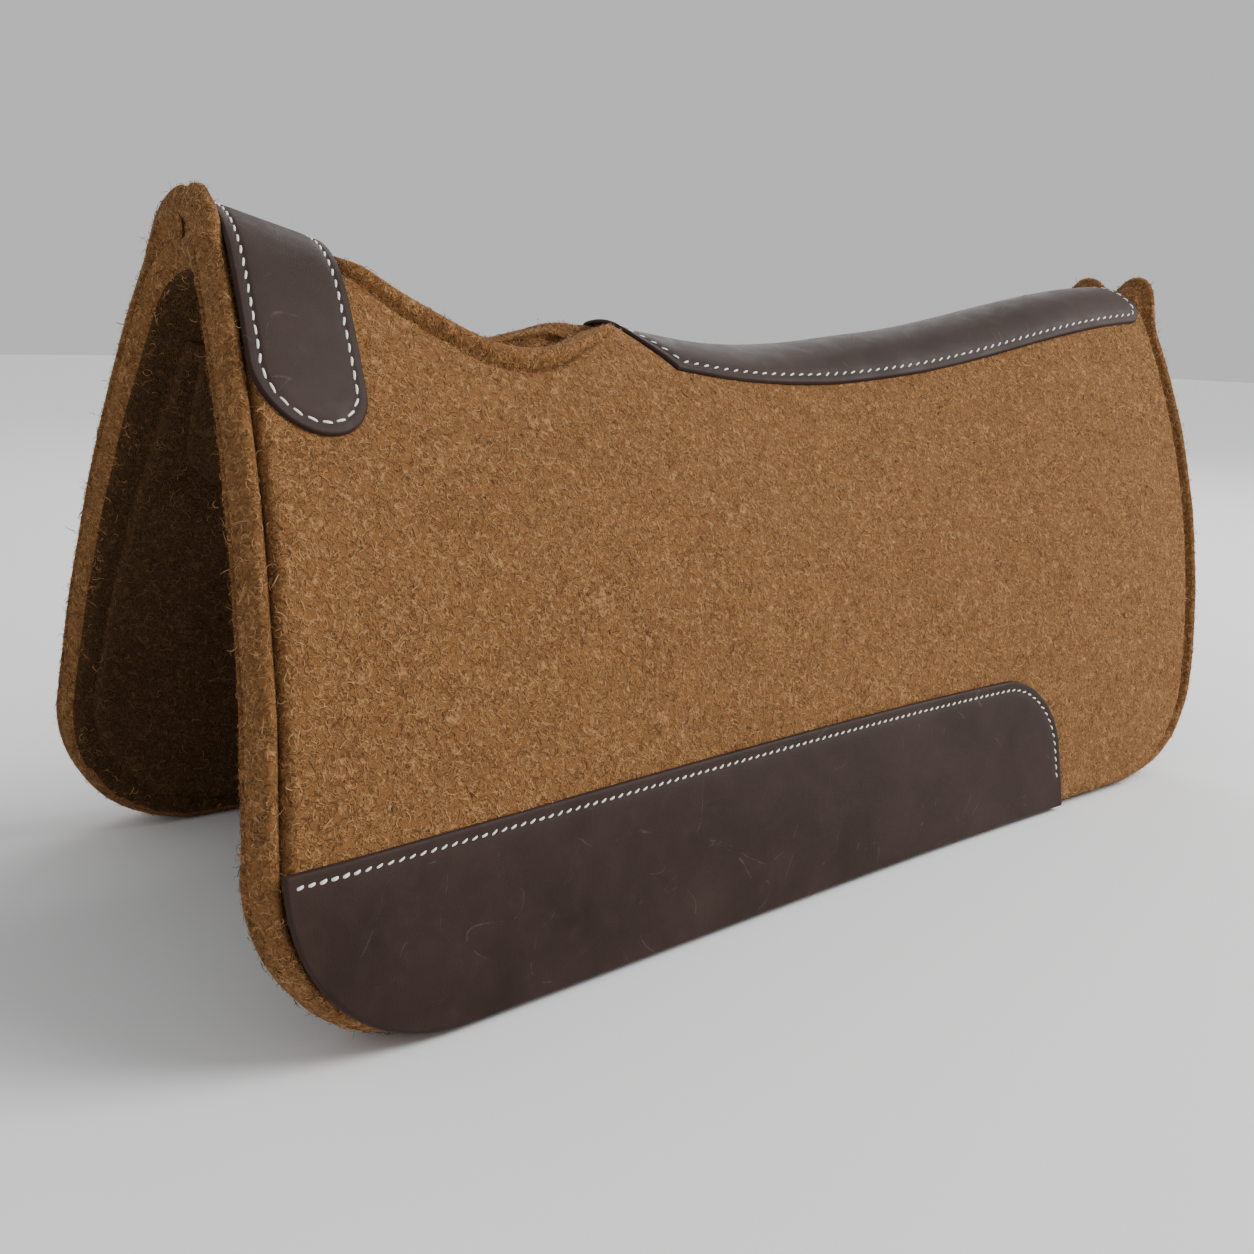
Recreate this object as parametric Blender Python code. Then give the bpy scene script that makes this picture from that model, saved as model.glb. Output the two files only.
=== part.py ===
"""Western contoured wool-felt saddle pad, standing on the lower edges of its two flanks.

Axes: +X runs from the horse's head end to the tail end, +Z is up and -Y is the horse's left side.
Every piece is laid out on one curved face, the outside of the core felt. A place on that face is
(x along the spine, t down the flank from the crest), and a piece lies at some height above it.
"""
import math

import bpy
import numpy as np

# Driving dimensions, metres
PAD_LENGTH = 0.762
CORE_THICKNESS = 0.028
PANEL_THICKNESS = 0.0045
PATCH_THICKNESS = 0.003
LEATHER_THICKNESS = 0.003
THREAD_RADIUS = 0.0009
LAYER_GAP = 0.001
THREAD_GAP = 0.0008

# Crest line: highest at the withers, lowest under the seat, rising again to the loin
LOW_HEIGHT = 0.3068
LOW_PLACE = 0.40
WITHER_RISE = 0.071
WITHER_CURVE = 1.6
LOIN_RISE = 0.045

# Cross section at the head end and at the tail end: tight bend radius, slope below it, slope at the
# lower edge (radians below horizontal), length of leg over which the slope changes, whole flank
BEND_RADIUS = (0.034, 0.037)
UPPER_SLOPE = (0.84, 1.02)
LOWER_SLOPE = (1.54, 1.475)
LEG_LENGTH = (0.3994, 0.3553)
FLANK_LENGTH = (0.419, 0.388)

# How far down the leg the bend reaches where the sewn leathers round the crest off: wither strap, then
# front and rear of the spine strip. Between them, over the slot, the felt keeps its tight bend
STRAP_JOIN = 0.038
STRIP_JOIN = 0.036
REAR_JOIN = 0.0125
STRAP_FADE = (0.060, 0.115)
STRIP_RISE = (0.200, 0.262)
STRIP_FADE = (0.300, 0.460)

# Outline of each flank
FRONT_LEAN = 0.046
REAR_LEAN = 0.028
REAR_SWEEP = 0.052
BOTTOM_CORNER = 0.062
PANEL_INSET_FRONT = 0.009
PANEL_INSET_REAR = 0.014
PANEL_INSET_BOTTOM = 0.003
PANEL_INSET_CREST = 0.010
LINER_INSET = 0.014
LINER_TOP = 0.078
PATCH_TOP = 0.086
PATCH_DROP = 0.080
PATCH_FRONT = 0.020
PATCH_LENGTH = 0.150
PATCH_CORNER = 0.025

# Open slot over the withers, in x, and how far its lips lie down the flank
SLOT_START = 0.046
SLOT_END = 0.243
SLOT_DEPTH = 0.060
SLOT_FULLNESS = 0.8

# Leather pieces
WITHER_STRAP_START = 0.0095
WITHER_STRAP_WIDTH = 0.056
WITHER_STRAP_DROP = 0.141
SPINE_STRIP_START = 0.244
SPINE_STRIP_END = 0.735
SPINE_STRIP_HALF_WIDTH = 0.046
SPINE_STRIP_FRONT_CORNER = 0.024
SPINE_STRIP_REAR_CORNER = 0.016
WEAR_HEIGHT = 0.092
WEAR_END = 0.528
WEAR_CORNER = 0.047
STITCH_INSET = 0.0055

# Fold between the two flanks: the line it turns about, and the room left for it
HINGE_FRONT_HEIGHT = 0.345
HINGE_REAR_HEIGHT = 0.322
SEAM_GAP = 0.0012
OPENING_SHARE = math.radians(22.0)
CLOSING_SHARE = math.radians(2.0)

FELT_COLUMNS = 42
STRIP_COLUMNS = 22
SPINE_COLUMNS = 40
CREST_ZONE = 0.062
CREST_ROWS = 10
SLOT_STATIONS = 17
WEDGE_ABOVE = 0.022
WEDGE_BELOW = 0.045
SEAM_ABOVE = 0.080
SEAM_BELOW = 0.120
SEAM_OVERRUN = 0.050

BROWN_FELT = (0.30, 0.145, 0.050)
DARK_FELT = (0.20, 0.095, 0.035)
DARK_LEATHER = (0.055, 0.034, 0.028)
WHITE_THREAD = (0.85, 0.83, 0.78)


def clear_scene():
    for item in list(bpy.data.objects):
        bpy.data.objects.remove(item)


def along(values, x):
    share = np.clip(x / PAD_LENGTH, 0.0, 1.0)
    return values[0] + (values[1] - values[0]) * share


def fade(x, zone):
    """Smooth step from 0 before a zone of x to 1 after it."""
    share = np.clip((x - zone[0]) / (zone[1] - zone[0]), 0.0, 1.0)
    return share * share * (3.0 - 2.0 * share)


def join_place(x):
    """How far down the leg the bend over the crest reaches; 0 is the tight bend between the leathers."""
    strap = STRAP_JOIN * (1.0 - fade(x, STRAP_FADE))
    strip = STRIP_JOIN * fade(x, STRIP_RISE) * (1.0 - fade(x, STRIP_FADE))
    return strap + strip + REAR_JOIN * fade(x, STRIP_FADE)


def section(x):
    """Cross section at x: radius of the bend, slope at its end, turn of the leg per metre, crest height.

    The leg stays in place where the bend is rounder, and the crest comes down.
    """
    front = np.clip((LOW_PLACE - x) / LOW_PLACE, 0.0, None) ** WITHER_CURVE
    back = np.clip((x - LOW_PLACE) / (PAD_LENGTH - LOW_PLACE), 0.0, 1.0)
    ridge = LOW_HEIGHT + WITHER_RISE * front + LOIN_RISE * 0.5 * (1.0 - np.cos(math.pi * back))
    tight = along(BEND_RADIUS, x)
    upper = along(UPPER_SLOPE, x)
    rate = (along(LOWER_SLOPE, x) - upper) / along(LEG_LENGTH, x)
    end = upper + rate * join_place(x)
    reach = tight * np.sin(upper) + (np.sin(end) - np.sin(upper)) / rate
    drop = tight * (1.0 - np.cos(upper)) + (np.cos(upper) - np.cos(end)) / rate
    radius = reach / np.sin(end)
    return radius, end, rate, ridge - drop + radius * (1.0 - np.cos(end))


def crest_height(x):
    return section(x)[3]


def hinge_height(x):
    share = x / PAD_LENGTH
    return HINGE_FRONT_HEIGHT + (HINGE_REAR_HEIGHT - HINGE_FRONT_HEIGHT) * share


def lay(x, t, height):
    """Point (x, y, z) on the far flank: t down the face from the crest, height out from it."""
    x = np.asarray(x, float)
    t = np.asarray(t, float)
    radius, end, rate, crest = section(x)
    bend = radius * end
    slope = np.where(t < bend, t / radius, end + rate * (t - bend))
    y_bend = radius * np.sin(slope)
    y_leg = radius * np.sin(end) + (np.sin(slope) - np.sin(end)) / rate
    drop_bend = radius * (1.0 - np.cos(slope))
    drop_leg = radius * (1.0 - np.cos(end)) + (np.cos(end) - np.cos(slope)) / rate
    y = np.where(t < bend, y_bend, y_leg) + height * np.sin(slope)
    z = crest - np.where(t < bend, drop_bend, drop_leg) + height * np.cos(slope)
    return np.stack([x + 0.0 * t, y, z], axis=-1)


SCAN = np.linspace(0.0, 0.5, 1001)


def reach_of_level(x, height, level):
    """t at which a face comes down to a level above the floor."""
    z = lay(x, SCAN, height)[:, 2]
    return float(np.interp(-level, -z, SCAN))


def slot_reach(x, extra):
    """t of the slot's lip; extra widens the slot."""
    share = (x - SLOT_START + extra) / (SLOT_END - SLOT_START + 2.0 * extra)
    return (SLOT_DEPTH + extra) * max(math.sin(math.pi * share), 0.0) ** SLOT_FULLNESS


def front_edge(share):
    return -FRONT_LEAN * share


def rear_edge(share):
    return PAD_LENGTH - REAR_LEAN * share - REAR_SWEEP * share * share


def row_shares(length, top_corner, bottom_corner, rows):
    """Shares of the way down for the rows of a piece, closer together round its corners."""
    quarter = [math.sin(0.5 * math.pi * i / 4.0) for i in range(1, 5)]
    shares = [0.0]
    if top_corner:
        shares += [top_corner / length * (1.0 - q) for q in reversed(quarter[:-1])]
        shares.append(top_corner / length)
    start = shares[-1]
    stop = 1.0 - bottom_corner / length
    shares += [start + (stop - start) * i / rows for i in range(1, rows + 1)]
    if bottom_corner:
        shares += [stop + bottom_corner / length * q for q in quarter]
    return shares


def corner_inset(radius, distance):
    if distance >= radius:
        return 0.0
    return radius - math.sqrt(radius * radius - (radius - distance) ** 2)


def add_material(item, name, colour, roughness):
    material = bpy.data.materials.new(name)
    material.use_nodes = True
    shader = material.node_tree.nodes["Principled BSDF"]
    shader.inputs["Base Color"].default_value = (*colour, 1.0)
    shader.inputs["Roughness"].default_value = roughness
    shader.inputs["Metallic"].default_value = 0.0
    material.diffuse_color = (*colour, 1.0)
    item.data.materials.append(material)


def add_object(name, points, faces, finish):
    mesh = bpy.data.meshes.new(name)
    mesh.from_pydata([tuple(p) for p in points], [], faces)
    mesh.validate()
    mesh.shade_smooth()
    mesh.set_sharp_from_angle(angle=math.radians(40.0))
    item = bpy.data.objects.new(name, mesh)
    bpy.context.scene.collection.objects.link(item)
    add_material(item, name, *finish)
    return item


def slab_faces(rows, columns):
    """Faces of a closed slab whose outer grid of points comes first and inner grid second."""
    def outer(i, j):
        return i * columns + j

    def inner(i, j):
        return rows * columns + i * columns + j

    faces = []
    for i in range(rows - 1):
        for j in range(columns - 1):
            faces.append((outer(i, j), outer(i, j + 1), outer(i + 1, j + 1), outer(i + 1, j)))
            faces.append((inner(i, j), inner(i + 1, j), inner(i + 1, j + 1), inner(i, j + 1)))
    for i in range(rows - 1):
        last = columns - 1
        faces.append((outer(i, 0), outer(i + 1, 0), inner(i + 1, 0), inner(i, 0)))
        faces.append((outer(i + 1, last), outer(i, last), inner(i, last), inner(i + 1, last)))
    for j in range(columns - 1):
        last = rows - 1
        faces.append((outer(0, j + 1), outer(0, j), inner(0, j), inner(0, j + 1)))
        faces.append((outer(last, j), outer(last, j + 1), inner(last, j + 1), inner(last, j)))
    return faces


def add_slab(name, outer, inner, side, finish):
    """Closed piece between two grids of points given on the far flank; side -1 mirrors it."""
    rows, columns = outer.shape[:2]
    points = np.concatenate([outer.reshape(-1, 3), inner.reshape(-1, 3)])
    points = points * (1.0, side, 1.0) + (middle_shift(), 0.0, 0.0)
    faces = slab_faces(rows, columns)
    if side < 0:
        faces = [tuple(reversed(face)) for face in faces]
    return add_object(name, points, faces, finish)


def middle_shift():
    """Moves the pad so that the middle of its length is at x = 0."""
    length = float(along(FLANK_LENGTH, 0.0))
    return -0.5 * (PAD_LENGTH - FRONT_LEAN * (1.0 - BOTTOM_CORNER / length))


def felt_grid(height, outline, top, bottom, corner, rows, columns):
    """Points of one face of a flank piece. outline gives its ends at a share of the way down."""
    length = float(along(FLANK_LENGTH, 0.0))
    grid = []
    for share in row_shares(length, 0.0, corner, rows):
        first, last = outline(share)
        squeeze = corner_inset(corner, (1.0 - share) * length)
        x = np.linspace(first + squeeze, last - squeeze, columns + 1)
        t = [top + (bottom(place, height) - top) * share for place in x]
        grid.append(lay(x, np.array(t), height))
    return np.array(grid)


def crest_grid(height, outline):
    """Rows over the bend above a flank piece's own rows."""
    grid = []
    for t in np.linspace(0.0, CREST_ZONE, CREST_ROWS + 1)[:-1]:
        first, last = outline(t / along(FLANK_LENGTH, 0.0))
        x = np.linspace(first, last, FELT_COLUMNS + 1)
        grid.append(lay(x, t, height))
    return np.array(grid)


def add_slot_cutter(name, extra):
    """Wedge whose walls cross the felt squarely; it opens the slot over the withers."""
    stations = np.linspace(SLOT_START - extra, SLOT_END + extra, SLOT_STATIONS)
    points = []
    for x in stations:
        t = slot_reach(x, extra)
        high = lay(x, t, WEDGE_ABOVE)
        low = lay(x, t, -WEDGE_BELOW)
        wide = max(high[1], 0.5 * SEAM_GAP)
        narrow = max(low[1], 0.5 * SEAM_GAP)
        top = crest_height(x) + WEDGE_ABOVE
        half = [(wide, top), (wide, high[2]), (narrow, low[2])]
        points += [(x, -y, z) for y, z in reversed(half)] + [(x, y, z) for y, z in half]
    points = np.array(points) + (middle_shift(), 0.0, 0.0)
    faces = [(0, 1, 4, 5), (1, 2, 3, 4)]
    for k in range(len(stations) - 1):
        for i in range(6):
            j = (i + 1) % 6
            faces.append((6 * k + i, 6 * k + 6 + i, 6 * k + 6 + j, 6 * k + j))
    end = 6 * (len(stations) - 1)
    faces += [(end + 5, end + 4, end + 1, end), (end + 4, end + 3, end + 2, end + 1)]
    return hide_cutter(add_object(name, points, faces, (BROWN_FELT, 0.95)))


def add_seam_cutter(name):
    """Long wedge between the flanks, so that they can fold about the hinge line."""
    above = (SEAM_GAP + SEAM_ABOVE * math.tan(OPENING_SHARE), SEAM_ABOVE)
    below = (SEAM_GAP + SEAM_BELOW * math.tan(CLOSING_SHARE), -SEAM_BELOW)
    outline = [(-above[0], above[1]), above, (SEAM_GAP, 0.0), below, (-below[0], below[1]), (-SEAM_GAP, 0.0)]
    points = []
    for x in (-SEAM_OVERRUN, PAD_LENGTH + SEAM_OVERRUN):
        points += [(x + middle_shift(), y, hinge_height(x) + z) for y, z in outline]
    faces = [(0, 1, 2, 5), (5, 2, 3, 4), (11, 8, 7, 6), (10, 9, 8, 11)]
    for i in range(6):
        j = (i + 1) % 6
        faces.append((i, 6 + i, 6 + j, j))
    return hide_cutter(add_object(name, points, faces, (BROWN_FELT, 0.95)))


def hide_cutter(cutter):
    cutter.hide_render = True
    cutter.display_type = "WIRE"
    return cutter


def cut(item, cutters):
    for cutter in cutters:
        modifier = item.modifiers.new(cutter.name, "BOOLEAN")
        modifier.operation = "DIFFERENCE"
        modifier.object = cutter


def add_crested_piece(name, side, heights, outline, bottom, cutters):
    """Felt that runs from the seam at the crest down to the lower edge."""
    faces = []
    for height in heights:
        below = felt_grid(height, outline, CREST_ZONE, bottom, BOTTOM_CORNER, 9, FELT_COLUMNS)
        faces.append(np.concatenate([crest_grid(height, outline), below]))
    cut(add_slab(name, faces[0], faces[1], side, (BROWN_FELT, 0.95)), cutters)


def core_bottom(x, height):
    return reach_of_level(x, height, 0.0)


def add_core(name, side, cutters):
    def outline(share):
        return front_edge(share), rear_edge(share)

    add_crested_piece(name, side, (0.0, -CORE_THICKNESS), outline, core_bottom, cutters)


def panel_bottom(x, height):
    return reach_of_level(x, height, PANEL_INSET_BOTTOM)


def panel_outline(share):
    return front_edge(share) + PANEL_INSET_FRONT, rear_edge(share) - PANEL_INSET_REAR


def add_outer_panel(name, side, cutters):
    heights = (LAYER_GAP + PANEL_THICKNESS, LAYER_GAP)
    add_crested_piece(name, side, heights, panel_outline, panel_bottom, cutters)


def add_liner(name, side):
    def outline(share):
        return front_edge(share) + LINER_INSET, rear_edge(share) - LINER_INSET

    def bottom(x, height):
        return reach_of_level(x, height, LINER_INSET)

    outer = -CORE_THICKNESS - LAYER_GAP
    faces = [felt_grid(h, outline, LINER_TOP, bottom, BOTTOM_CORNER, 7, 16)
             for h in (outer, outer - PANEL_THICKNESS)]
    add_slab(name, faces[0], faces[1], side, (DARK_FELT, 0.95))


def add_wither_patch(name, side):
    outer = -CORE_THICKNESS - PANEL_THICKNESS - 2.0 * LAYER_GAP
    grids = []
    for height in (outer, outer - PATCH_THICKNESS):
        grid = []
        for share in row_shares(PATCH_DROP, 0.0, PATCH_CORNER, 3):
            squeeze = corner_inset(PATCH_CORNER, (1.0 - share) * PATCH_DROP)
            last = PATCH_FRONT + PATCH_LENGTH
            x = np.linspace(PATCH_FRONT + squeeze, last - squeeze, 9)
            grid.append(lay(x, PATCH_TOP + share * PATCH_DROP, height))
        grids.append(np.array(grid))
    add_slab(name, grids[0], grids[1], side, (DARK_FELT, 0.95))


LEATHER_BASE = 2.0 * LAYER_GAP + PANEL_THICKNESS


def add_wear_leather(name, side):
    def grid(height):
        rows = []
        for share in row_shares(WEAR_HEIGHT, WEAR_CORNER, BOTTOM_CORNER * 0.7, 1):
            level = PANEL_INSET_BOTTOM + (WEAR_HEIGHT - PANEL_INSET_BOTTOM) * (1.0 - share)
            down = 1.0 - level / along(FLANK_LENGTH, 0.0)
            inset = corner_inset(BOTTOM_CORNER, level - PANEL_INSET_BOTTOM)
            first = panel_outline(down)[0] + inset
            last = WEAR_END - corner_inset(WEAR_CORNER, WEAR_HEIGHT - level)
            x = np.linspace(first, last, STRIP_COLUMNS)
            t = [reach_of_level(place, height, level) for place in x]
            rows.append(lay(x, np.array(t), height))
        return np.array(rows)

    add_slab(name, grid(LEATHER_BASE + LEATHER_THICKNESS), grid(LEATHER_BASE), side,
             (DARK_LEATHER, 0.55))


def across(x, s, height):
    """Point on a piece that crosses the crest: s runs from the left flank to the right one."""
    point = lay(x, np.abs(s), height)
    return point * np.stack([np.ones_like(s), np.where(s < 0.0, -1.0, 1.0), np.ones_like(s)], axis=-1)


def add_crossing_leather(name, outline_rows):
    """outline_rows lists (s, first x, last x) across the crest, from left to right."""
    grids = []
    for height in (LEATHER_BASE + LEATHER_THICKNESS, LEATHER_BASE):
        grid = []
        for s, first, last in outline_rows:
            x = np.linspace(first, last, 7 if last - first < 0.2 else SPINE_COLUMNS)
            grid.append(across(x, np.full(len(x), s), height))
        grids.append(np.array(grid))
    add_slab(name, grids[0], grids[1], 1.0, (DARK_LEATHER, 0.55))


def wither_ends(s, inset):
    """First and last x of the wither strap at s; it leans with the front edge and has round ends."""
    radius = 0.5 * WITHER_STRAP_WIDTH - inset
    lean = front_edge(abs(s) / float(along(FLANK_LENGTH, 0.0)))
    middle = WITHER_STRAP_START + 0.5 * WITHER_STRAP_WIDTH + lean
    past = abs(s) - (WITHER_STRAP_DROP - 0.5 * WITHER_STRAP_WIDTH)
    half = math.sqrt(max(radius * radius - max(past, 0.0) ** 2, (0.1 * radius) ** 2))
    return middle - half, middle + half


def wither_stations(inset):
    """Places across the crest, close together round the strap's ends."""
    radius = 0.5 * WITHER_STRAP_WIDTH - inset
    straight = WITHER_STRAP_DROP - 0.5 * WITHER_STRAP_WIDTH
    ends = [straight + radius * math.sin(math.radians(a)) for a in (30.0, 55.0, 73.0, 84.0)]
    half = list(np.linspace(0.0, straight, 12)) + ends
    return [-s for s in reversed(half[1:])] + half


def add_wither_leather(name):
    add_crossing_leather(name, [(s, *wither_ends(s, 0.0)) for s in wither_stations(0.0)])


def spine_ends(s, inset):
    """First and last x of the spine strip at s: cut corners in front, round ones behind."""
    half = SPINE_STRIP_HALF_WIDTH - inset
    cut = max(abs(s) - (half - SPINE_STRIP_FRONT_CORNER * 1.3), 0.0) / 1.3
    back = corner_inset(SPINE_STRIP_REAR_CORNER, max(half - abs(s), 0.0))
    return SPINE_STRIP_START + inset + cut, SPINE_STRIP_END - inset - back


def spine_stations(inset):
    half = SPINE_STRIP_HALF_WIDTH - inset
    start = half - SPINE_STRIP_FRONT_CORNER * 1.3
    corner = [half - SPINE_STRIP_REAR_CORNER * (1.0 - math.sin(a)) for a in (0.0, 0.6, 1.1, 0.5 * math.pi)]
    side = list(np.linspace(0.0, start, 4)) + list(np.linspace(start, corner[0], 4)[1:-1]) + corner
    return [-s for s in reversed(side[1:])] + side


def add_spine_leather(name):
    add_crossing_leather(name, [(s, *spine_ends(s, 0.0)) for s in spine_stations(0.0)])


def add_thread(name, path, closed):
    """Round thread along a path of points, given on the finished object."""
    curve = bpy.data.curves.new(name, "CURVE")
    curve.dimensions = "3D"
    curve.bevel_depth = THREAD_RADIUS
    curve.bevel_resolution = 0
    curve.use_fill_caps = not closed
    spline = curve.splines.new("POLY")
    spline.points.add(len(path) - 1)
    spline.use_cyclic_u = closed
    for spot, point in zip(spline.points, path):
        spot.co = (*point, 1.0)
    item = bpy.data.objects.new(name, curve)
    bpy.context.scene.collection.objects.link(item)
    item.location = (middle_shift(), 0.0, 0.0)
    add_material(item, name, WHITE_THREAD, 0.7)


THREAD_HEIGHT = LEATHER_BASE + LEATHER_THICKNESS + THREAD_RADIUS + THREAD_GAP


def loop_path(stations, ends):
    """Closed line just inside the edge of a piece that crosses the crest."""
    front = [(ends(s, STITCH_INSET)[0], s) for s in stations]
    back = [(ends(s, STITCH_INSET)[1], s) for s in reversed(stations)]
    return front + back


def add_wither_thread(name):
    line = loop_path(wither_stations(STITCH_INSET), wither_ends)
    add_thread(name, [across(np.array(x), np.array(s), THREAD_HEIGHT) for x, s in line], True)


def add_spine_thread(name):
    half = spine_stations(STITCH_INSET)
    edge = []
    for s in (half[0], half[-1]):
        first, last = spine_ends(s, STITCH_INSET)
        edge.append([(x, s) for x in np.linspace(first, last, 22)[1:-1]])
    front = [(spine_ends(s, STITCH_INSET)[0], s) for s in half]
    back = [(spine_ends(s, STITCH_INSET)[1], s) for s in reversed(half)]
    line = front + edge[1] + back + list(reversed(edge[0]))
    add_thread(name, [across(np.array(x), np.array(s), THREAD_HEIGHT) for x, s in line], True)


def wear_thread_line():
    """x and height above the floor, from the front along the top and down the back."""
    level = WEAR_HEIGHT - STITCH_INSET
    radius = WEAR_CORNER - STITCH_INSET
    end = WEAR_END - STITCH_INSET
    front = panel_outline(1.0 - level / along(FLANK_LENGTH, 0.0))[0] + STITCH_INSET
    line = [(x, level) for x in np.linspace(front, end - radius, 24)]
    for degrees in (15.0, 30.0, 45.0, 60.0, 75.0, 90.0):
        turn = math.radians(degrees)
        line.append((end - radius * (1.0 - math.sin(turn)), level - radius * (1.0 - math.cos(turn))))
    line.append((end, 0.5 * (level - radius + STITCH_INSET)))
    line.append((end, STITCH_INSET))
    return line


def add_wear_thread(name, side):
    path = []
    for x, level in wear_thread_line():
        t = reach_of_level(x, THREAD_HEIGHT, level)
        path.append(lay(x, t, THREAD_HEIGHT) * (1.0, side, 1.0))
    add_thread(name, path, False)


def build():
    clear_scene()
    seam = add_seam_cutter("seam_cutter")
    core_cutters = (seam, add_slot_cutter("core_slot_cutter", 0.0))
    panel_cutters = (seam, add_slot_cutter("panel_slot_cutter", PANEL_INSET_CREST))
    for word, side in (("left", -1.0), ("right", 1.0)):
        add_core(f"core_felt_{word}", side, core_cutters)
        add_outer_panel(f"outer_panel_{word}", side, panel_cutters)
        add_liner(f"inner_panel_{word}", side)
        add_wither_patch(f"wither_patch_{word}", side)
        add_wear_leather(f"wear_leather_{word}", side)
        add_wear_thread(f"wear_stitching_{word}", side)
    add_wither_leather("wither_leather")
    add_wither_thread("wither_stitching")
    add_spine_leather("spine_leather")
    add_spine_thread("spine_stitching")


build()
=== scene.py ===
"""Looks of the wool-felt saddle pad: felt layers, leathers, stitching and loose fibres."""
import math

import bpy
import numpy as np
from mathutils import Matrix, Vector


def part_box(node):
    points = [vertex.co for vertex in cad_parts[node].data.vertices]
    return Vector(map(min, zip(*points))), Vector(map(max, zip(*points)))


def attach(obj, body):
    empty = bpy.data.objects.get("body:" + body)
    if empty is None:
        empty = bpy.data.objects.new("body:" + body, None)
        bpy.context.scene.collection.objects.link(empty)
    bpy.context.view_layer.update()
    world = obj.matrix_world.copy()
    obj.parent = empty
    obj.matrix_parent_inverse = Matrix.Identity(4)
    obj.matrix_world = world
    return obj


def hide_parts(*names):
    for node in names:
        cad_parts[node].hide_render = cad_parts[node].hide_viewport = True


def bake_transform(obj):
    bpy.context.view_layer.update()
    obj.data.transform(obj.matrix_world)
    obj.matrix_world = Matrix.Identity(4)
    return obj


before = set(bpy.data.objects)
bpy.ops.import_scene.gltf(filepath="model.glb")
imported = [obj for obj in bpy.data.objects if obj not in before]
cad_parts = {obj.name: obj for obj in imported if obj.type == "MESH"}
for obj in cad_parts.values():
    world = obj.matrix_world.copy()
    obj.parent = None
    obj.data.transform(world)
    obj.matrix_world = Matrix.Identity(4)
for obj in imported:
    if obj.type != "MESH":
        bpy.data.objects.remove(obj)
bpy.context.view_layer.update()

LEFT, RIGHT = "left_flank", "right_flank"

# The curved face that every layer is laid out on, metres, with the sizes that the CAD has.
# A pair of values is for the front and the rear end.
PAD_LENGTH = 0.762
LOW_HEIGHT = 0.3068
LOW_PLACE = 0.40
WITHER_RISE = 0.071
WITHER_CURVE = 1.6
LOIN_RISE = 0.045
BEND_RADIUS = (0.034, 0.037)
UPPER_SLOPE = (0.84, 1.02)
LOWER_SLOPE = (1.54, 1.475)
FLANK_LENGTH = (0.419, 0.388)
LEG_LENGTH = (0.3994, 0.3553)
# How far down the leg the bend reaches: under the strap, under the strip, at the rear
STRAP_JOIN = 0.038
STRIP_JOIN = 0.036
REAR_JOIN = 0.0125
STRAP_FADE = (0.060, 0.115)
STRIP_RISE = (0.200, 0.262)
STRIP_FADE = (0.300, 0.460)
FRONT_LEAN = 0.046
REAR_LEAN = 0.028
REAR_SWEEP = 0.052
BOTTOM_CORNER = 0.062
# The front corner is rounder than the CAD's
FRONT_CORNER = 0.092
# The layout's x starts at the crest's front end; the frame's is centred on the pad
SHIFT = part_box("core_felt_left")[0][0] + FRONT_LEAN * (1.0 - BOTTOM_CORNER / FLANK_LENGTH[0])

# Layers
CORE_THICKNESS = 0.028
PANEL_THICKNESS = 0.0052
PANEL_SUNK = 0.0045
PANEL_INSETS = (0.0108, 0.0170)
PANEL_BOTTOM = 0.003
LINER_THICKNESS = 0.0045
LINER_INSETS = (0.014, 0.014)
LINER_TOP = 0.078
LINER_BOTTOM = 0.014
PATCH_THICKNESS = 0.0035
LEATHER_THICKNESS = 0.0030
LEATHER_BASE = 0.0052
LEATHER_SUNK = 0.0004

# Outlines in the layout: x along the crest, the rest down or across it
SLOT_START, SLOT_END, SLOT_DEPTH, SLOT_FULLNESS = 0.046, 0.243, 0.060, 0.8
STRAP_START, STRAP_WIDTH, STRAP_DROP = 0.0095, 0.056, 0.141
STRIP_START, STRIP_END, STRIP_HALF = 0.244, 0.735, 0.046
STRIP_CUT, STRIP_CORNER = 0.024, 0.016
WEAR_HEIGHT, WEAR_END, WEAR_CORNER = 0.092, 0.528, 0.047
STITCH_INSET = 0.0055


def along(values, x):
    """Value at x, between the front end's and the rear end's."""
    return values[0] + (values[1] - values[0]) * np.clip(x / PAD_LENGTH, 0.0, 1.0)


def smooth(value, low, high):
    """Smooth step from 0 at low to 1 at high; low may be the larger."""
    share = np.clip((value - low) / (high - low), 0.0, 1.0)
    return share * share * (3.0 - 2.0 * share)


def join_place(x):
    """How far down the leg the bend over the crest reaches; 0 is the tightest bend."""
    rear = smooth(x, *STRIP_FADE)
    strap = STRAP_JOIN * (1.0 - smooth(x, *STRAP_FADE))
    strip = STRIP_JOIN * smooth(x, *STRIP_RISE) * (1.0 - rear)
    return strap + strip + REAR_JOIN * rear


def section(x):
    """Cross section at x: the bend's radius and end slope, the leg's turn per metre, the crest's height.

    The leg stays in place where the bend is rounder, and the crest comes down.
    """
    front = np.clip((LOW_PLACE - x) / LOW_PLACE, 0.0, None) ** WITHER_CURVE
    back = np.clip((x - LOW_PLACE) / (PAD_LENGTH - LOW_PLACE), 0.0, 1.0)
    ridge = LOW_HEIGHT + WITHER_RISE * front + LOIN_RISE * 0.5 * (1.0 - np.cos(math.pi * back))
    tight = along(BEND_RADIUS, x)
    upper = along(UPPER_SLOPE, x)
    rate = (along(LOWER_SLOPE, x) - upper) / along(LEG_LENGTH, x)
    end = upper + rate * join_place(x)
    reach = tight * np.sin(upper) + (np.sin(end) - np.sin(upper)) / rate
    drop = tight * (1.0 - np.cos(upper)) + (np.cos(upper) - np.cos(end)) / rate
    radius = reach / np.sin(end)
    return radius, end, rate, ridge - drop + radius * (1.0 - np.cos(end))


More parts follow.
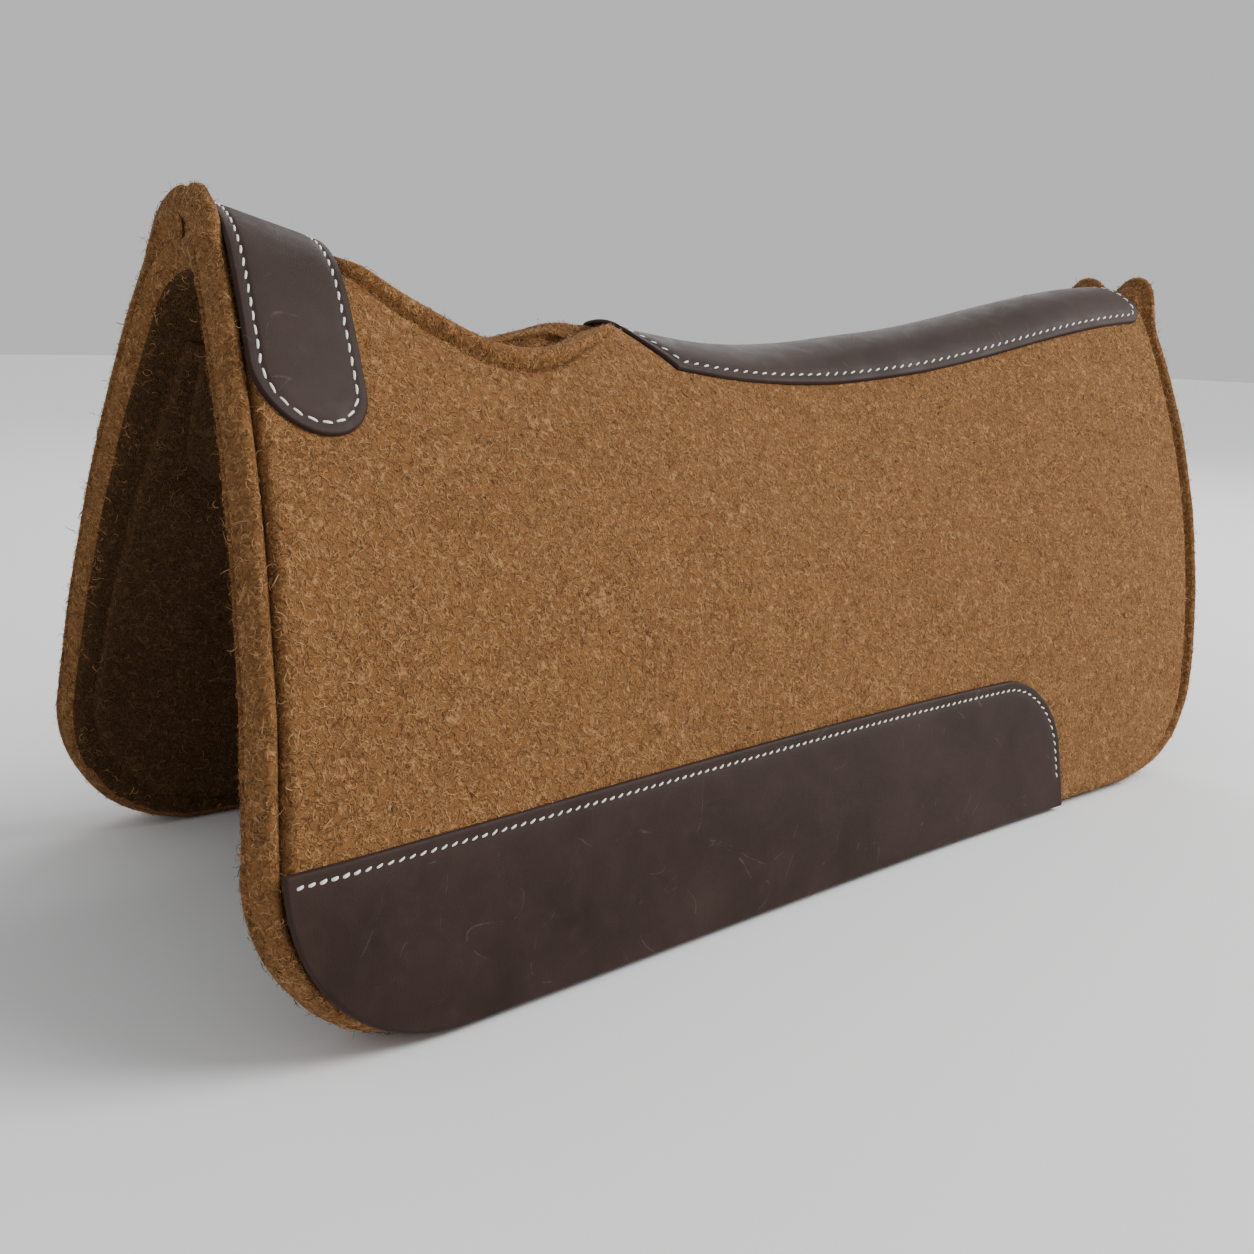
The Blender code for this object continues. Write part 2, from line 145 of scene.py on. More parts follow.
def lay(x, t, height):
    """Points on the right flank: t down the face from the crest, height out from it."""
    x, t, height = np.broadcast_arrays(*(np.asarray(v, float) for v in (x, t, height)))
    radius, end, rate, crest = section(x)
    bend = radius * end
    slope = np.where(t < bend, t / radius, end + rate * (t - bend))
    leg_y = radius * np.sin(end) + (np.sin(slope) - np.sin(end)) / rate
    leg_drop = radius * (1.0 - np.cos(end)) + (np.cos(end) - np.cos(slope)) / rate
    y = np.where(t < bend, radius * np.sin(slope), leg_y) + height * np.sin(slope)
    drop = np.where(t < bend, radius * (1.0 - np.cos(slope)), leg_drop)
    z = crest - drop + height * np.cos(slope)
    return np.stack([x + SHIFT, y, z], axis=-1)


SCAN = np.linspace(0.0, 0.5, 1001)


def reach_of_level(x, height, level):
    """How far down the face at x the given level over the floor is."""
    z = lay(x, SCAN, height)[:, 2]
    return float(np.interp(-level, -z, SCAN))


def bow(x, start, end, depth):
    """The slot's shape: how far down the face it is open at x."""
    share = np.clip((x - start) / (end - start), 0.0, 1.0)
    return depth * np.clip(np.sin(math.pi * share), 0.0, None) ** SLOT_FULLNESS


def slot_reach(x):
    return bow(x, SLOT_START, SLOT_END, SLOT_DEPTH)


def corner_inset(radius, distance):
    """How far a round corner stands in from its side, at a distance from its other side."""
    gap = np.clip(radius - distance, 0.0, None)
    return radius - np.sqrt(np.clip(radius * radius - gap * gap, 0.0, None))


def corner_distance(radius, across_it, up):
    """Distance inside an outline with a round corner, from those to its two straight sides."""
    a, b = np.clip(radius - across_it, 0.0, None), np.clip(radius - up, 0.0, None)
    return np.where((a > 0.0) & (b > 0.0), radius - np.hypot(a, b), np.minimum(across_it, up))


def spread(first, last, middle_count, edge, fine):
    """Places from first to last, closer together within edge of either end."""
    near = np.linspace(0.0, edge, fine, endpoint=False)
    middle = np.linspace(edge, last - first - edge, middle_count)
    return first + np.concatenate([near, middle, (last - first) - near[::-1]])


def grid_faces(rows, columns):
    """Quads of a grid, as rows of four indices."""
    index = np.arange(rows * columns).reshape(rows, columns)
    quads = [index[:-1, :-1], index[:-1, 1:], index[1:, 1:], index[1:, :-1]]
    return np.stack([q.ravel() for q in quads], axis=1)


def rim_loop(rows, columns):
    """Indices of a grid's edge, once round."""
    index = np.arange(rows * columns).reshape(rows, columns)
    return np.concatenate([index[0, :-1], index[:-1, -1], index[-1, :0:-1], index[:0:-1, 0]])


def new_mesh(name, points, faces, material):
    """faces is an array or a list of tuples."""
    if isinstance(faces, np.ndarray):
        faces = faces.tolist()
    mesh = bpy.data.meshes.new(name)
    mesh.from_pydata(points.tolist(), [], faces)
    mesh.shade_smooth()
    item = bpy.data.objects.new(name, mesh)
    bpy.context.scene.collection.objects.link(item)
    mesh.materials.append(material)
    return item


def slab(name, outer, inner, rim, side, material):
    """Closed piece between two grids of points; rim is how far its edge stands out, in even steps."""
    rows, columns = outer.shape[:2]
    count = rows * columns
    loop = rim_loop(rows, columns)
    flat_outer = outer.reshape(-1, 3)
    flat_inner = inner.reshape(-1, 3)
    steps = len(rim)
    rings = []
    if steps:
        away = flat_outer[loop] - np.roll(flat_outer[loop], 1, axis=0)
        away += np.roll(flat_outer[loop], -1, axis=0) - flat_outer[loop]
        through = flat_outer[loop] - flat_inner[loop]
        out = np.cross(through, away)
        out /= np.linalg.norm(out, axis=1, keepdims=True) + 1e-12
        for k, push in enumerate(rim):
            q = (k + 1.0) / (steps + 1.0)
            rings.append(flat_outer[loop] * (1.0 - q) + flat_inner[loop] * q - out * push)
    points = np.concatenate([flat_outer, flat_inner] + rings)
    faces = [grid_faces(rows, columns), grid_faces(rows, columns)[:, ::-1] + count]
    between = [2 * count + k * len(loop) + np.arange(len(loop)) for k in range(steps)]
    chain = [loop] + between + [loop + count]
    for upper, lower in zip(chain[:-1], chain[1:]):
        faces.append(np.stack([upper, lower, np.roll(lower, -1), np.roll(upper, -1)], axis=1))
    faces = np.concatenate(faces)
    points = points * (1.0, side, 1.0)
    if side < 0:
        faces = faces[:, ::-1]
    return new_mesh(name, points, faces, material)


# ---------------------------------------------------------------- materials

def tree_of(name):
    """A new material, its node tree and its shader."""
    material = bpy.data.materials.new(name)
    material.use_nodes = True
    nodes = material.node_tree.nodes
    return material, material.node_tree, nodes["Principled BSDF"]


def node(tree, kind, values=None, **settings):
    made = tree.nodes.new(kind)
    for key, value in settings.items():
        setattr(made, key, value)
    for key, value in (values or {}).items():
        made.inputs[key].default_value = value
    return made


def link(tree, source, target):
    tree.links.new(source, target)


def noise(tree, place, scale, detail=2.0, distortion=0.0, roughness=0.5):
    values = {"Scale": scale, "Detail": detail, "Distortion": distortion, "Roughness": roughness}
    made = node(tree, "ShaderNodeTexNoise", values)
    link(tree, place, made.inputs["Vector"])
    return made.outputs["Fac"]


def maths(tree, operation, a, b=None, clamp=False):
    made = node(tree, "ShaderNodeMath", operation=operation, use_clamp=clamp)
    for socket, value in zip(made.inputs, (a, b)):
        if value is None:
            continue
        if isinstance(value, (int, float)):
            socket.default_value = value
        else:
            link(tree, value, socket)
    return made.outputs[0]


def remap(tree, value, low, high, to_low=0.0, to_high=1.0):
    values = {"From Min": low, "From Max": high, "To Min": to_low, "To Max": to_high}
    made = node(tree, "ShaderNodeMapRange", values)
    link(tree, value, made.inputs["Value"])
    return made.outputs["Result"]


def mix_colour(tree, share, a, b):
    made = node(tree, "ShaderNodeMix", data_type="RGBA")
    sockets = made.inputs["Factor"], made.inputs[6], made.inputs[7]
    for socket, value in zip(sockets, (share, a, b)):
        if isinstance(value, tuple):
            socket.default_value = (*value, 1.0)
        elif isinstance(value, (int, float)):
            socket.default_value = value
        else:
            link(tree, value, socket)
    return made.outputs[2]


def ridge(tree, place, scale, distortion, width):
    """Thin winding lines, like curled fibres: 1 on a line, 0 away from it."""
    value = noise(tree, place, scale, 0.5, distortion)
    off = maths(tree, "ABSOLUTE", maths(tree, "SUBTRACT", value, 0.5))
    return remap(tree, off, 0.0, width, 1.0, 0.0)


def shifted(tree, place, offset):
    made = node(tree, "ShaderNodeMapping", {"Location": offset})
    link(tree, place, made.inputs["Vector"])
    return made.outputs["Vector"]


def felt_material(name, dark, middle, light):
    material, tree, shader = tree_of(name)
    place = node(tree, "ShaderNodeTexCoord").outputs["Object"]
    strands = []
    for k, scale in enumerate((170.0, 215.0, 260.0)):
        moved = shifted(tree, place, (0.37 * k, 1.3 * k, 2.1 * k))
        strands.append(ridge(tree, moved, scale, 1.0, 0.040))
    bright = maths(tree, "MAXIMUM", maths(tree, "MAXIMUM", strands[0], strands[1]), strands[2])
    pits = ridge(tree, shifted(tree, place, (4.1, 0.7, 3.3)), 190.0, 1.3, 0.055)
    patches = noise(tree, place, 30.0, 3.0, 0.4, 0.5)
    grain = noise(tree, place, 420.0, 3.0, 0.0, 0.7)
    base = mix_colour(tree, remap(tree, patches, 0.3, 0.7, 0.62, 0.90), dark, middle)
    base = mix_colour(tree, remap(tree, grain, 0.35, 0.70, 0.45, 0.0), base, dark)
    pit_colour = tuple(0.50 * c for c in dark)
    base = mix_colour(tree, maths(tree, "MULTIPLY", pits, 0.62), base, pit_colour)
    base = mix_colour(tree, maths(tree, "MULTIPLY", bright, 0.62), base, light)
    link(tree, base, shader.inputs["Base Color"])
    rough = remap(tree, grain, 0.2, 0.8, 0.82, 1.0)
    link(tree, rough, shader.inputs["Roughness"])
    shader.inputs["Specular IOR Level"].default_value = 0.15
    shader.inputs["Sheen Weight"].default_value = 0.18
    shader.inputs["Sheen Roughness"].default_value = 0.5
    shader.inputs["Sheen Tint"].default_value = (*light, 1.0)
    raised, rough_up = maths(tree, "MULTIPLY", bright, 0.7), maths(tree, "MULTIPLY", grain, 0.6)
    height = maths(tree, "ADD", raised, rough_up)
    height = maths(tree, "SUBTRACT", height, maths(tree, "MULTIPLY", pits, 0.5))
    relief = node(tree, "ShaderNodeBump", {"Strength": 0.9, "Distance": 0.0009})
    link(tree, height, relief.inputs["Height"])
    link(tree, relief.outputs["Normal"], shader.inputs["Normal"])
    return material


def leather_material(name):
    material, tree, shader = tree_of(name)
    place = node(tree, "ShaderNodeTexCoord").outputs["Object"]
    mottle = noise(tree, place, 16.0, 5.0, 0.3, 0.6)
    streaks = noise(tree, shifted(tree, place, (3.0, 1.0, 2.0)), 60.0, 4.0, 0.8, 0.6)
    pores = node(tree, "ShaderNodeTexVoronoi", {"Scale": 900.0}, feature="DISTANCE_TO_EDGE")
    link(tree, place, pores.inputs["Vector"])
    cells = remap(tree, pores.outputs["Distance"], 0.0, 0.28)
    scuff = ridge(tree, shifted(tree, place, (7.0, 2.0, 5.0)), 14.0, 2.2, 0.006)
    scuff = maths(tree, "MULTIPLY", scuff, remap(tree, streaks, 0.52, 0.66))
    base = mix_colour(tree, remap(tree, mottle, 0.3, 0.72), LEATHER_DARK, LEATHER_LIGHT)
    worn = maths(tree, "MULTIPLY", remap(tree, streaks, 0.5, 0.8), 0.35)
    base = mix_colour(tree, worn, base, LEATHER_WORN)
    base = mix_colour(tree, maths(tree, "MULTIPLY", scuff, 0.45), base, LEATHER_SCUFF)
    link(tree, base, shader.inputs["Base Color"])
    link(tree, remap(tree, streaks, 0.3, 0.75, 0.50, 0.66), shader.inputs["Roughness"])
    shader.inputs["Specular IOR Level"].default_value = 0.16
    raised, rough_up = maths(tree, "MULTIPLY", cells, 0.5), maths(tree, "MULTIPLY", streaks, 0.8)
    height = maths(tree, "ADD", raised, rough_up)
    relief = node(tree, "ShaderNodeBump", {"Strength": 0.25, "Distance": 0.0004})
    link(tree, height, relief.inputs["Height"])
    link(tree, relief.outputs["Normal"], shader.inputs["Normal"])
    return material


def fibre_material(name, colour):
    material, _, shader = tree_of(name)
    shader.inputs["Base Color"].default_value = (*colour, 1.0)
    shader.inputs["Roughness"].default_value = 0.7
    shader.inputs["Specular IOR Level"].default_value = 0.25
    return material


def thread_material(name):
    material, tree, shader = tree_of(name)
    place = node(tree, "ShaderNodeTexCoord").outputs["Object"]
    twist = noise(tree, place, 1500.0, 2.0, 0.5)
    base = mix_colour(tree, remap(tree, twist, 0.3, 0.7), *THREAD_TONES)
    link(tree, base, shader.inputs["Base Color"])
    shader.inputs["Roughness"].default_value = 0.6
    relief = node(tree, "ShaderNodeBump", {"Strength": 0.5, "Distance": 0.0003})
    link(tree, twist, relief.inputs["Height"])
    link(tree, relief.outputs["Normal"], shader.inputs["Normal"])
    return material


THREAD_TONES = ((0.80, 0.77, 0.70), (0.97, 0.96, 0.93))
LEATHER_DARK = (0.0200, 0.0098, 0.0070)
LEATHER_LIGHT = (0.0390, 0.0215, 0.0165)
LEATHER_WORN = (0.056, 0.035, 0.028)
LEATHER_SCUFF = (0.13, 0.105, 0.09)
# Dark, middle and light of each felt
FELT_TONES = ((0.105, 0.042, 0.0125), (0.270, 0.122, 0.039), (0.46, 0.250, 0.105))
# The liner's tones are darker than the outer felt's: painted shade of the pad's shadowed inside
LINER_PAINTED_SHADE_TONES = ((0.040, 0.018, 0.007), (0.085, 0.041, 0.016), (0.150, 0.080, 0.035))
FIBRE_TONES = {"dark": (0.070, 0.026, 0.008), "middle": (0.22, 0.095, 0.030),
               "light": (0.42, 0.23, 0.095)}
# The liner's fibres are darker by the same painted shade
LINER_FIBRE_PAINTED_SHADE_TONES = {"dark": (0.05, 0.022, 0.008), "light": (0.20, 0.105, 0.045)}

felt = felt_material("wool_felt", *FELT_TONES)
# Liner felt: its darker tones are painted shade of the pad's inside; the patch and the core's horse side
# use it too
liner_felt_painted_shade = felt_material("liner_felt_painted_shade", *LINER_PAINTED_SHADE_TONES)
fibres = [fibre_material(f"fibre_{tone}", colour) for tone, colour in FIBRE_TONES.items()]
liner_fibres_painted_shade = [fibre_material(f"liner_fibre_{tone}", colour)
                for tone, colour in LINER_FIBRE_PAINTED_SHADE_TONES.items()]
leather = leather_material("oiled_leather")
thread = thread_material("waxed_thread")


# ---------------------------------------------------------------- felt layers

def front_edge(share):
    """x of the front edge at a share of the way down the flank."""
    return -FRONT_LEAN * share


def rear_edge(share):
    return PAD_LENGTH - REAR_LEAN * share - REAR_SWEEP * share * share


# Spacing of the points on a face
STEP = 0.0045


def flank_grid(insets, top, bottom_level, height, edge):
    """x, t and distance from the outline over a flank piece, in rows down the face.

    insets stand in from the front and the rear edge, top(x) is where the piece starts, bottom_level
    is its foot over the floor at this height out from the face, and edge is the finer zone's width.
    """
    length = FLANK_LENGTH[0]
    quarter = np.sin(np.linspace(0.0, 0.5 * math.pi, 26))[1:]
    near = np.linspace(0.0, edge, 6, endpoint=False)
    count = int((length - FRONT_CORNER - edge) / STEP)
    down = np.concatenate([near, np.linspace(edge, length - FRONT_CORNER, count),
                           length - FRONT_CORNER + FRONT_CORNER * quarter]) / length
    rim_x = np.linspace(0.0, PAD_LENGTH, 1000)
    rim_t = top(rim_x)
    rim_x, rim_t = rim_x[rim_t > 1e-6], rim_t[rim_t > 1e-6]
    xs, ts, ds = [], [], []
    for share in down:
        above = (1.0 - share) * length
        front_in = float(corner_inset(FRONT_CORNER, above))
        rear_in = float(corner_inset(BOTTOM_CORNER, above))
        first = front_edge(share) + insets[0] + front_in
        last = rear_edge(share) - insets[1] - rear_in
        x = spread(first, last, int(PAD_LENGTH / STEP), edge, 6)
        high = top(x)
        low = np.array([reach_of_level(place, height, bottom_level) for place in x])
        t = high + (low - high) * share
        from_top = np.hypot(x[:, None] - rim_x[None, :], t[:, None] - rim_t[None, :]).min(axis=1)
        front = corner_distance(FRONT_CORNER, x - first + front_in, low - t)
        rear = corner_distance(BOTTOM_CORNER, last + rear_in - x, low - t)
        xs.append(x)
        ts.append(t)
        ds.append(np.minimum(np.clip(np.minimum(front, rear), 0.0, None), from_top))
    return np.array(xs), np.array(ts), np.array(ds)


def wander(x, t, scale, seed):
    """Gentle unevenness of hand-laid felt, about -1 to 1."""
    rng = np.random.default_rng(seed)
    total = np.zeros_like(x)
    for _ in range(7):
        a, b = rng.normal(size=2) * scale
        total += np.sin(a * x + b * t + rng.uniform(0.0, 2.0 * math.pi))
    return total / 3.5


def end_lobes(x, t):
    """The felt stands up in two round lobes at each end of the crest."""
    front = 1.0 - smooth(x, 0.0045, 0.0135)
    back = smooth(x, PAD_LENGTH - 0.030, PAD_LENGTH - 0.016)
    front_lobe = 0.0118 * front * np.exp(-(t / 0.041) ** 4)
    return front_lobe + 0.0165 * back * np.exp(-((t - 0.021) / 0.017) ** 2)


def slot_swell(x, t):
    """The felt stands up behind the strap, where the slot begins."""
    ends = smooth(x, 0.058, 0.075) * (1.0 - smooth(x, 0.105, 0.150))
    return 0.0060 * ends * np.exp(-(t / 0.050) ** 2)


def crease(x, t):
    """Where the flanks meet over the crest, the felt dips in a soft furrow, deepest at the rear."""
    front = 1.0 - smooth(x, 0.0, 0.02)
    back = smooth(x, PAD_LENGTH - 0.045, PAD_LENGTH - 0.012)
    depth = 0.0015 + 0.0006 * front + 0.0045 * back
    return depth * np.exp(-(t / (0.0030 + 0.0045 * back)) ** 2)


CORE_ROUND = 0.0105
# Across the rim: rounded, with a slight groove between its layers
CORE_RIM = (0.0004, -0.0008, -0.0020, -0.0026, -0.0021, -0.0026, -0.0020, -0.0008, 0.0004)
# No felt or fibre comes lower than this
FLOOR_GAP = 0.0006
FIBRE_FLOOR_GAP = 0.0004


def covered(x, t):
    """True where a leather lies over the outer panel."""
    under = (strap_distance(x, t) > 0.001) | (strip_distance(x, t) > 0.001)
    z = lay(x, t, LEATHER_BASE)[..., 2]
    return under | ((z < WEAR_HEIGHT - 0.001) & (x < WEAR_END - 0.012) & (x > -0.02))


def face_middles(values):
    return (values[:-1, :-1] + values[1:, 1:]).ravel() * 0.5


FACES = {}
# Widths of the core's rim on its inner face: where fibres grow, where the outer felt shows before the
# painted shade
INNER_RIM = 0.016
INNER_ROLL = 0.0055


def note_faces(piece, x, t, d, shown):
    """Keeps where loose fibres may grow: centre, normal, area and distance from the edge of faces.

    shown(x, t, d) picks faces of the outer side; None means that only the inner side is in sight.
    """
    mesh = piece.data
    count = len(mesh.polygons)
    centres, normals, areas = np.empty(count * 3), np.empty(count * 3), np.empty(count)
    mesh.polygons.foreach_get("center", centres)
    mesh.polygons.foreach_get("normal", normals)
    mesh.polygons.foreach_get("area", areas)
    face = (x.shape[0] - 1) * (x.shape[1] - 1)

    inside = face_middles(d)
    keep = np.ones(count, bool)
    if shown is None:
        keep[:face] = False
    else:
        keep[:face] = shown(face_middles(x), face_middles(t), inside)
        keep[face:2 * face] = inside < INNER_RIM
    edge = np.zeros(count)
    edge[:face] = inside
    edge[face:2 * face] = inside
    centres, normals = centres.reshape(-1, 3), normals.reshape(-1, 3)
    FACES[piece.name] = (centres[keep], normals[keep], areas[keep], edge[keep])


def paint_shade_inside(piece, d):
    """The horse side of the core, away from its rolled rim, takes the darker liner felt as painted shade
    of the pad's inside.
    """
    piece.data.materials.append(liner_felt_painted_shade)
    face = (d.shape[0] - 1) * (d.shape[1] - 1)
    index = np.zeros(len(piece.data.polygons), np.int32)
    index[face:2 * face] = (face_middles(d) > INNER_ROLL).astype(np.int32)
    piece.data.polygons.foreach_set("material_index", index)


FIBRE_POINTS = 5
FIBRE_RIM = 0.007


def make_fuzz(name, sources, count, reach, lift, rim_share, materials, shares, seed):
    """Loose curled fibres lying on felt, each about reach long and with its end up to lift high.

    count is their number; on the edges they are rim_share times as dense.
    """
    rng = np.random.default_rng(seed)
    noted = zip(*(FACES[source] for source in sources))
    centres, normals, areas, edge = (np.concatenate(parts) for parts in noted)
    weight = areas * np.where(edge < FIBRE_RIM, rim_share, 1.0)
    pick = rng.choice(len(areas), size=count, p=weight / weight.sum())
    up = normals[pick]
    scatter = rng.normal(size=(count, 3)) * np.sqrt(areas[pick])[:, None] * 0.45
    scatter -= up * np.sum(scatter * up, axis=1, keepdims=True)
    root = centres[pick] + scatter
    ahead = rng.normal(size=(count, 3))
    ahead -= up * np.sum(ahead * up, axis=1, keepdims=True)
    ahead /= np.linalg.norm(ahead, axis=1, keepdims=True)
    side = np.cross(up, ahead)
    length = reach * rng.uniform(0.5, 1.4, count)
    turn = rng.normal(size=count) * 1.3 + rng.choice((-1.7, 1.7), count)
    rise = lift * rng.uniform(0.1, 1.0, count) ** 3 * np.where(edge[pick] < FIBRE_RIM, 1.7, 1.0)
    width = rng.uniform(0.00010, 0.00020, count)
    tilt = rng.normal(size=count) * 0.5
    points = np.empty((count, FIBRE_POINTS, 2, 3))
    along_it = np.linspace(0.0, 1.0, FIBRE_POINTS)
    place = root.copy()
    heading = np.zeros(count)
    for k, share in enumerate(along_it):
        arch = 4.0 * share * (1.0 - share) * 0.00030 + share ** 2 * rise + 0.00008
        point = place + up * arch[:, None]
        direction = ahead * np.cos(heading)[:, None] + side * np.sin(heading)[:, None]
        wide = side * np.cos(heading)[:, None] - ahead * np.sin(heading)[:, None]
        wide = wide + up * tilt[:, None]
        half = (width * (1.0 - 0.75 * share ** 2))[:, None]
        points[:, k, 0] = point - wide * half
        points[:, k, 1] = point + wide * half
        place = place + direction * (length / (FIBRE_POINTS - 1))[:, None]
        heading = heading + turn / (FIBRE_POINTS - 1) * 1.6
    points[..., 2] = np.maximum(points[..., 2], FIBRE_FLOOR_GAP)
    start = np.arange(count)[:, None] * FIBRE_POINTS * 2 + np.arange(FIBRE_POINTS - 1)[None, :] * 2
    faces = np.stack([start, start + 1, start + 3, start + 2], axis=-1).reshape(-1, 4)
    piece = new_mesh(name, points.reshape(-1, 3), faces, materials[0])
    for extra in materials[1:]:
        piece.data.materials.append(extra)
    which = rng.choice(len(materials), size=count, p=shares)
    piece.data.polygons.foreach_set("material_index", np.repeat(which, FIBRE_POINTS - 1))
    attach(piece, LEFT)
    piece.parent = None
    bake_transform(piece)


def make_core(name, node_name, side):
    x, t, d = flank_grid((0.0, 0.0), slot_reach, 0.0, -0.5 * CORE_THICKNESS, 0.014)
    rolled = corner_inset(CORE_ROUND, d)
    lip = smooth(t - slot_reach(x), 0.030, 0.010) * smooth(slot_reach(x), 0.0, 0.015)
    rear = smooth(x, 0.60, 0.70)
    bead = np.exp(-((d - 0.0062 - 0.0030 * lip) / (0.0040 + 0.0025 * lip)) ** 2)
    roll = (0.0034 + 0.0030 * lip + 0.0022 * rear) * bead
    roll -= 0.0042 * smooth(d - 0.0065 * lip, 0.0085, 0.0125)
    ends = end_lobes(x, t) + slot_swell(x, t) - crease(x, t) + wander(x, t, 60.0, 5) * 0.0006
    outer = lay(x, t, ends + roll - rolled)
    inner = lay(x, t, -CORE_THICKNESS + rolled + wander(x, t, 70.0, 6) * 0.0005)
    outer[..., 2] = np.maximum(outer[..., 2], FLOOR_GAP)
    inner[..., 2] = np.maximum(inner[..., 2], FLOOR_GAP)
    piece = slab(name, outer, inner, CORE_RIM, side, felt)
    note_faces(piece, x, t, d, lambda fx, ft, fd: fd < 0.0135)
    # Painted shade: the core's inner side past its rolled rim takes the darker liner felt
    paint_shade_inside(piece, d)
    finish_crossing(piece, node_name)


def panel_reach(x):
    """The outer panel stops short of the slot's lips, but runs up to its end under the strip."""
    return bow(x, SLOT_START - 0.012, SLOT_END + 0.003, SLOT_DEPTH + 0.021)


def make_outer_panel(name, node_name, side):
    x, t, d = flank_grid(PANEL_INSETS, panel_reach, PANEL_BOTTOM, 0.0, 0.009)
    soft = PANEL_THICKNESS - 1.5 * corner_inset(PANEL_THICKNESS, d)
    uneven = wander(x, t, 38.0, 11) * 0.0005 * smooth(d, 0.0, 0.02)
    outer = lay(x, t, soft + slot_swell(x, t) + uneven - crease(x, t))
    inner = lay(x, t, -PANEL_SUNK - crease(x, t))
    piece = slab(name, outer, inner, (), side, felt)
    note_faces(piece, x, t, d, lambda fx, ft, fd: ~covered(fx, ft))
    finish_crossing(piece, node_name)


def make_liner(name, node_name, side, body):
    x, t, d = flank_grid(LINER_INSETS, lambda place: np.full_like(place, LINER_TOP), LINER_BOTTOM,
                         -CORE_THICKNESS, 0.009)
    soft = LINER_THICKNESS - corner_inset(LINER_THICKNESS, d)
    depth = -CORE_THICKNESS - soft - wander(x, t, 40.0, 21) * 0.0005 * smooth(d, 0.0, 0.02)
    level = WEAR_HEIGHT - STITCH_INSET
    z = lay(x, t, depth)[..., 2]
    depth = depth + 0.0012 * np.exp(-((z - level) / 0.0035) ** 2) * (x < WEAR_END - 0.02)
    outer = lay(x, t, -CORE_THICKNESS + 0.002)
    # The liner's darker felt is painted shade of the pad's inside
    piece = slab(name, outer, lay(x, t, depth), (), side, liner_felt_painted_shade)
    note_faces(piece, x, t, d, None)
    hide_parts(node_name)
    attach(piece, body)


# First and last x, top edge and depth down the face, and corner radius
PATCH = (0.020, 0.170, 0.086, 0.080, 0.025)


def make_patch(name, node_name, side, body):
    first, last, top, drop, corner = PATCH
    down = spread(0.0, drop, 18, 0.006, 5)
    rows_x, rows_t, rows_d = [], [], []
    for y in down:
        squeeze = corner_inset(corner, drop - y)
        x = spread(first + squeeze, last - squeeze, 30, 0.006, 5)
        d = corner_distance(corner, np.minimum(x - first, last - x), drop - y)
        rows_x.append(x)
        rows_t.append(np.full(len(x), top + y))
        rows_d.append(np.clip(np.minimum(d, y), 0.0, None))
    x, t, d = np.array(rows_x), np.array(rows_t), np.array(rows_d)
    base = -CORE_THICKNESS - LINER_THICKNESS
    soft = PATCH_THICKNESS - corner_inset(PATCH_THICKNESS, d)
    # The patch takes the liner's darker felt, painted shade of the pad's inside
    piece = slab(name, lay(x, t, base + 0.001), lay(x, t, base - soft), (), side, liner_felt_painted_shade)
    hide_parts(node_name)
    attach(piece, body)


# ---------------------------------------------------------------- leathers

def across(x, s, height):
    """Points of a piece that crosses the crest: s runs from the left flank to the right one."""
    points = lay(x, np.abs(s), height)
    points[..., 1] *= np.where(s < 0.0, -1.0, 1.0)
    return points


def hide_profile(d):
    """Height of a leather's face over its base, with a burnished edge and the stitches' groove."""
    edge = corner_inset(0.0012, d)
    pull = 0.0006 * (1.0 - smooth(d, 0.0, 0.012))
    return LEATHER_THICKNESS - edge - stitch_groove(d) - pull


def stitch_groove(d):
    return 0.00055 * np.exp(-((d - STITCH_INSET) / 0.0013) ** 2)


LEATHER_RIM = (0.0003, 0.0003)


def make_leather(name, x, s, face, placer, side):
    """A leather with this face, x and s or t being arrays; placer lays them on the pad."""
    inner = placer(x, s, LEATHER_BASE - LEATHER_SUNK)
    return slab(name, placer(x, s, face), inner, LEATHER_RIM, side, leather)


def strap_middle(s):
    """The strap leans with the front edge."""
    return STRAP_START + 0.5 * STRAP_WIDTH - FRONT_LEAN * np.abs(s) / FLANK_LENGTH[0]


def strap_distance(x, s):
    radius = 0.5 * STRAP_WIDTH
    past = np.clip(np.abs(s) - (STRAP_DROP - radius), 0.0, None)
    return radius - np.hypot(x - strap_middle(s), past)


def strap_half(s):
    radius = 0.5 * STRAP_WIDTH
    past = max(abs(s) - (STRAP_DROP - radius), 0.0)
    return math.sqrt(max(radius * radius - past * past, (0.04 * radius) ** 2))


def make_wither_leather():
    radius = 0.5 * STRAP_WIDTH
    straight = STRAP_DROP - radius
    arc = radius * np.sin(np.linspace(0.0, 0.5 * math.pi * 0.985, 26))[1:]
    half = np.concatenate([np.linspace(0.0, straight, 70), straight + arc])
    stations = np.concatenate([-half[:0:-1], half])
    shares = spread(-1.0, 1.0, 14, 0.30, 12)
    x = np.array([strap_middle(s) + shares * strap_half(s) for s in stations])
    s = np.repeat(stations[:, None], x.shape[1], axis=1)
    face = LEATHER_BASE + hide_profile(np.clip(strap_distance(x, s), 0.0, None))
    piece = make_leather("wither_strap", x, s, face, across, 1.0)
    finish_crossing(piece, "wither_leather")


# The strip's front corners are cut off along this slope
CUT_SLOPE = 1.3
CUT_COSINE = 0.79


def strip_distance(x, s):
    side = STRIP_HALF - np.abs(s)
    front = x - STRIP_START
    diagonal = (front + side / CUT_SLOPE - STRIP_CUT) * CUT_COSINE
    rear = corner_distance(STRIP_CORNER, STRIP_END - x, side)
    return np.minimum(np.minimum(front, diagonal), rear)


def strip_ends(s):
    """First and last x of the strip at s."""
    cut = max(abs(s) - (STRIP_HALF - STRIP_CUT * CUT_SLOPE), 0.0) / CUT_SLOPE
    back = float(corner_inset(STRIP_CORNER, max(STRIP_HALF - abs(s), 0.0)))
    return STRIP_START + cut, STRIP_END - back


